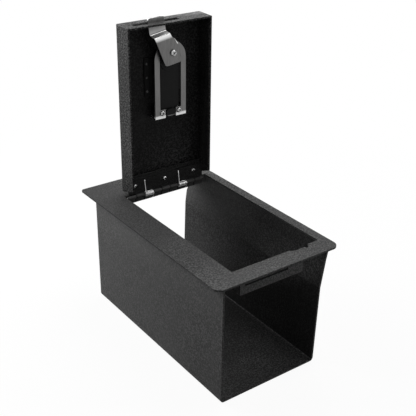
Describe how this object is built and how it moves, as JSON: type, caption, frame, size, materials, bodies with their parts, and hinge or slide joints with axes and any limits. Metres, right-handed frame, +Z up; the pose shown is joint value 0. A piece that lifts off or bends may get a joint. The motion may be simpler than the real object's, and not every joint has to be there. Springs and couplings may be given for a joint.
{
  "type": "console safe",
  "caption": "Open steel safe for a vehicle console: a channel under a flanged deck plate, with a sprung hinged lid, a Z-shaped latch lever and a dial lock.",
  "frame": {"origin": "centre of the channel floor's underside", "axes": "+Z up to the deck and the open lid, -Y towards the strike bracket and the open front, +X towards the flared wall"},
  "size_m": [0.2078, 0.3566, 0.4472],
  "materials": {
    "powder_coat": "black textured powder coat",
    "hinge_black": "black, satin",
    "housing_black": "black, satin",
    "stainless": "brushed",
    "bright_steel": "bright plated",
    "dial_white": "satin"
  },
  "bodies": {
    "box": {"body_channel": "powder_coat", "top_deck": "powder_coat", "strike_bracket": "powder_coat", "hinge_leaf_box": "hinge_black", "hinge_pin": "hinge_black", "spring_left": "bright_steel", "spring_right": "bright_steel"},
    "lid": {"lid_pan": "powder_coat", "hinge_leaf_lid": "hinge_black", "leaf_bolt_1": "bright_steel", "leaf_bolt_2": "bright_steel", "leaf_bolt_3": "bright_steel", "lock_housing": "housing_black", "side_screw_1": "bright_steel", "side_screw_2": "bright_steel", "side_screw_3": "bright_steel", "housing_plug": "housing_black", "lock_frame": "stainless", "frame_screw_1": "bright_steel", "frame_screw_2": "bright_steel", "dial_axle": "bright_steel", "escutcheon": "stainless"},
    "latch": {"latch_lever": "stainless", "lever_screw": "bright_steel", "latch_spindle": "bright_steel", "turn_knob": "housing_black"},
    "dial_1": {"dial_1": "dial_white"},
    "dial_2": {"dial_2": "dial_white"},
    "dial_3": {"dial_3": "dial_white"},
    "dial_4": {"dial_4": "dial_white"}
  },
  "joints": [
    {"name": "lid_hinge", "type": "hinge", "parent": "box", "child": "lid", "pos_m": [0, 0.1318, 0.175], "axis": [1, 0, 0], "range_deg": [0, 88.8], "stiffness_Nm_per_rad": 0.9, "springref_deg": -63.6, "deforming": ["spring_left", "spring_right"]},
    {"name": "latch_turn", "type": "hinge", "parent": "lid", "child": "latch", "pos_m": [0.032, 0.1318, 0.39413], "axis": [0, -1, 0], "range_deg": [-20, 32]},
    {"name": "dial_1_turn", "type": "hinge", "parent": "lid", "child": "dial_1", "pos_m": [0.032, 0.1421, 0.32513], "axis": [0, 0, 1], "continuous": true},
    {"name": "dial_2_turn", "type": "hinge", "parent": "lid", "child": "dial_2", "pos_m": [0.032, 0.1421, 0.33613], "axis": [0, 0, 1], "continuous": true},
    {"name": "dial_3_turn", "type": "hinge", "parent": "lid", "child": "dial_3", "pos_m": [0.032, 0.1421, 0.34713], "axis": [0, 0, 1], "continuous": true},
    {"name": "dial_4_turn", "type": "hinge", "parent": "lid", "child": "dial_4", "pos_m": [0.032, 0.1421, 0.35813], "axis": [0, 0, 1], "continuous": true}
  ]
}
